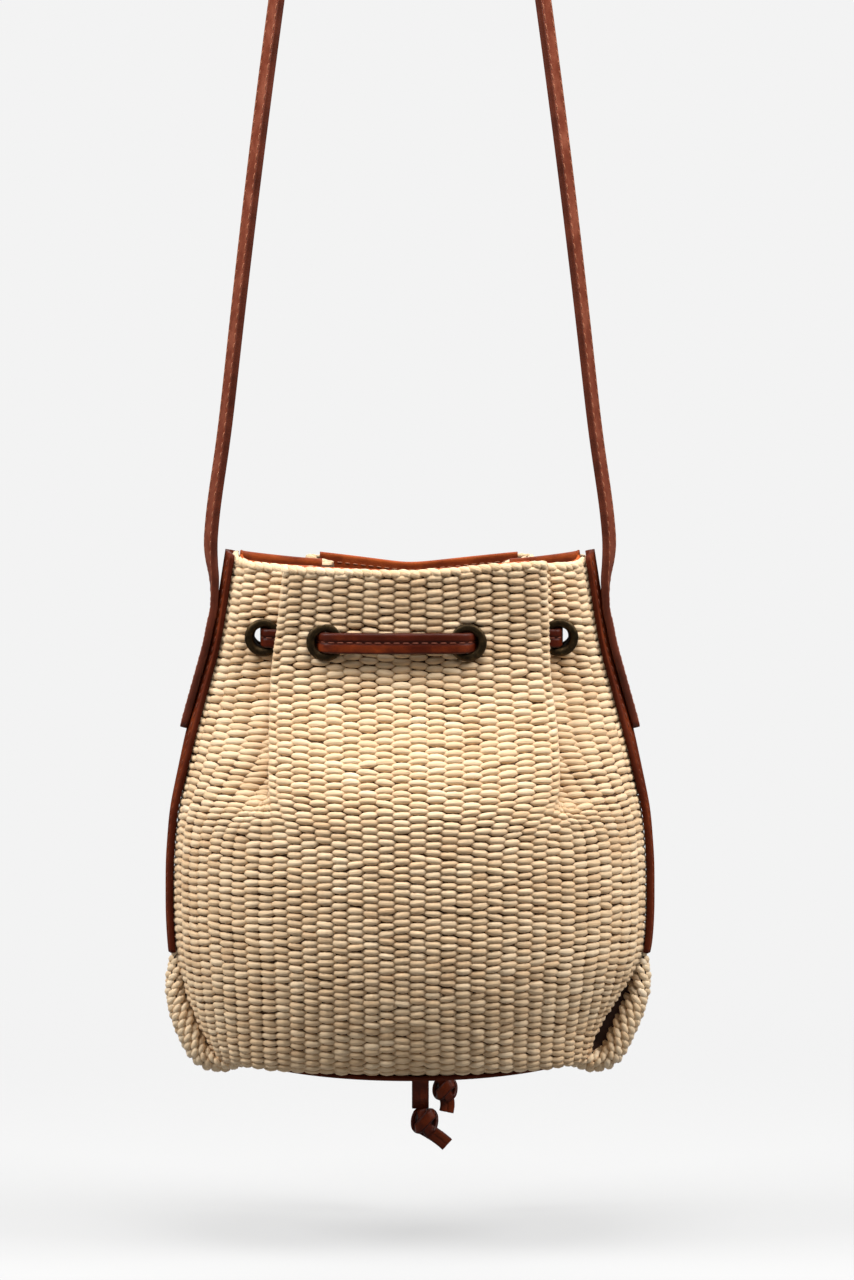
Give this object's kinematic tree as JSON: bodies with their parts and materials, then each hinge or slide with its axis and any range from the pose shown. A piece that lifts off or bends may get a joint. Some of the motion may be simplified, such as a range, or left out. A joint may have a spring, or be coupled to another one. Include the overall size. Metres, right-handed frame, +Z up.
{
  "type": "bucket bag",
  "caption": "Drawstring bucket bag of woven straw with leather trim, leather base and a long shoulder strap.",
  "frame": {"origin": "underside of the shoulder strap at the top of its loop, where the bag hangs", "axes": "+X towards the bag's right seen from the front, +Y to its back, +Z up along the hanging strap"},
  "size_m": [0.221, 0.138, 0.7698],
  "materials": {
    "woven_straw": "woven natural straw",
    "facing_leather": "smooth tan leather",
    "trim_leather": "smooth chestnut leather",
    "strap_leather": "smooth chestnut leather, stitched",
    "cord_leather": "folded leather band, stitched",
    "antique_bronze": "dark antique",
    "cotton_lining": "plain cotton",
    "base_board": "fibre board"
  },
  "bodies": {
    "strap": {"shoulder_strap": "strap_leather"},
    "bag": {"front_panel": "woven_straw", "back_panel": "woven_straw", "front_left_pleat": "woven_straw", "front_right_pleat": "woven_straw", "back_left_pleat": "woven_straw", "back_right_pleat": "woven_straw", "left_side_facing": "facing_leather", "right_side_facing": "facing_leather", "left_side_strip": "trim_leather", "right_side_strip": "trim_leather", "left_strap_end": "strap_leather", "right_strap_end": "strap_leather", "left_corner": "woven_straw", "right_corner": "woven_straw", "leather_base": "trim_leather", "base_board": "base_board", "lining": "cotton_lining", "side_eyelets": "antique_bronze", "side_washers": "antique_bronze", "pleat_eyelets": "antique_bronze", "drawstring_left": "cord_leather", "drawstring_right": "cord_leather"},
    "front_lip": {"front_lip_panel": "woven_straw", "front_lip_facing": "facing_leather", "front_lip_eyelets": "antique_bronze", "front_lip_washers": "antique_bronze", "drawstring_front": "cord_leather"},
    "back_lip": {"back_lip_panel": "woven_straw", "back_lip_facing": "facing_leather", "back_lip_eyelets": "antique_bronze", "back_lip_washers": "antique_bronze", "drawstring_back": "cord_leather", "drawstring_tie": "cord_leather"},
    "left_tail": {"left_tail": "cord_leather", "left_tail_knot": "cord_leather"},
    "right_tail": {"right_tail": "cord_leather", "right_tail_knot": "cord_leather"}
  },
  "joints": [
    {"name": "strap_swing", "type": "hinge", "parent": "strap", "child": "bag", "pos_m": [0, 0, -0.498], "axis": [1, 0, 0], "range_deg": [-90, 90]},
    {"name": "front_lip_open", "type": "hinge", "parent": "bag", "child": "front_lip", "pos_m": [0, -0.055, -0.597], "axis": [1, 0, 0], "range_deg": [0, 14]},
    {"name": "back_lip_open", "type": "hinge", "parent": "bag", "child": "back_lip", "pos_m": [0, 0.053, -0.597], "axis": [1, 0, 0], "range_deg": [-6, 0]},
    {"name": "left_tail_swing", "type": "hinge", "parent": "back_lip", "child": "left_tail", "pos_m": [0, 0.043, -0.5325], "axis": [1, 0, 0], "range_deg": [0, 75]},
    {"name": "right_tail_swing", "type": "hinge", "parent": "back_lip", "child": "right_tail", "pos_m": [0, 0.043, -0.5325], "axis": [1, 0, 0], "range_deg": [0, 75]}
  ],
  "couplings": [
    {"joint": "back_lip_open", "follows": "front_lip_open", "ratio": -0.4285}
  ]
}
